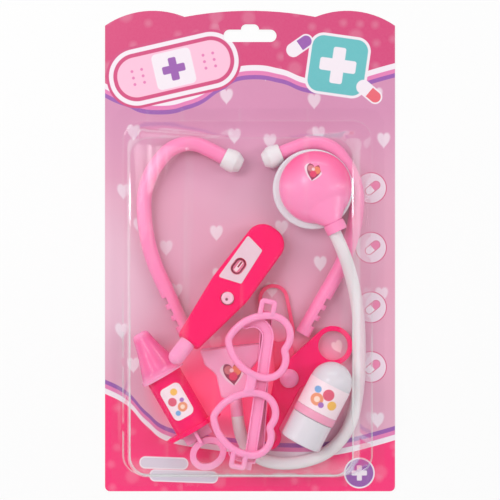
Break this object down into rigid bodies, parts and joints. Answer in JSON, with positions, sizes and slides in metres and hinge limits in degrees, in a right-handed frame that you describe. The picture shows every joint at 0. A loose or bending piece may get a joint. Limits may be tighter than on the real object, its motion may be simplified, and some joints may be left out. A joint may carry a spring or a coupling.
{
  "type": "toy doctor set blister pack",
  "caption": "Hang card with a clear blister that holds a toy doctor set: stethoscope, heart-rim glasses, thermometer, syringe with plunger, ring forceps and capped bottle.",
  "frame": {"origin": "under the middle of the card, on its back face", "axes": "+X to the right of the card, +Y up the card towards its hang slot, +Z out of the card through the blister"},
  "size_m": [0.175, 0.29, 0.0368],
  "materials": {
    "printed_card": "coated print",
    "clear_sheet": "clear, glossy, vacuum formed",
    "hot_pink": "moulded, satin gloss",
    "mid_pink": "moulded, satin gloss",
    "pale_pink": "moulded, satin gloss",
    "tinted_pink": "translucent, moulded",
    "white_plastic": "moulded, satin gloss",
    "soft_white": "soft vinyl, satin",
    "sticker": "glossy printed film",
    "label": "glossy printed film"
  },
  "bodies": {
    "pack": {"backing_card": "printed_card", "blister": "clear_sheet", "chest_dome": "mid_pink", "chest_rim": "white_plastic", "chest_diaphragm": "white_plastic", "chest_sticker": "sticker", "stethoscope_hose": "soft_white", "hose_yoke": "pale_pink", "yoke_sticker": "sticker", "glasses_frame": "pale_pink", "temple_left": "pale_pink", "temple_right": "pale_pink", "thermometer_front": "hot_pink", "thermometer_back": "hot_pink", "thermometer_tip": "pale_pink", "thermometer_label": "label", "thermometer_scale": "sticker", "syringe_nozzle": "tinted_pink", "syringe_barrel": "hot_pink", "syringe_sticker": "sticker", "forceps_half_a": "hot_pink", "forceps_rivet": "pale_pink", "bottle_body": "white_plastic", "bottle_band": "tinted_pink", "bottle_label": "label", "ear_tube_left": "mid_pink", "ear_tube_right": "mid_pink", "ear_tip_left": "soft_white", "ear_tip_right": "soft_white"},
    "plunger": {"syringe_plunger": "pale_pink", "syringe_piston": "soft_white"},
    "forceps_arm": {"forceps_half_b": "hot_pink"},
    "cap": {"bottle_cap": "white_plastic"},
    "button": {"thermometer_button": "pale_pink"}
  },
  "joints": [
    {"name": "plunger_slide", "type": "slide", "parent": "pack", "child": "plunger", "axis": [-0.5, 0.866, 0], "range_m": [0, 0.005]},
    {"name": "forceps_hinge", "type": "hinge", "parent": "pack", "child": "forceps_arm", "pos_m": [0.0235, -0.0764, 0.0009], "axis": [0, 0, 1], "range_deg": [0, 9]},
    {"name": "cap_pull", "type": "slide", "parent": "pack", "child": "cap", "axis": [-0.4617, -0.887, 0], "range_m": [0, 0.008]},
    {"name": "button_press", "type": "slide", "parent": "pack", "child": "button", "axis": [-0.1511, -0.1983, -0.9684], "range_m": [0, 0.0012], "stiffness_N_per_m": 200}
  ]
}
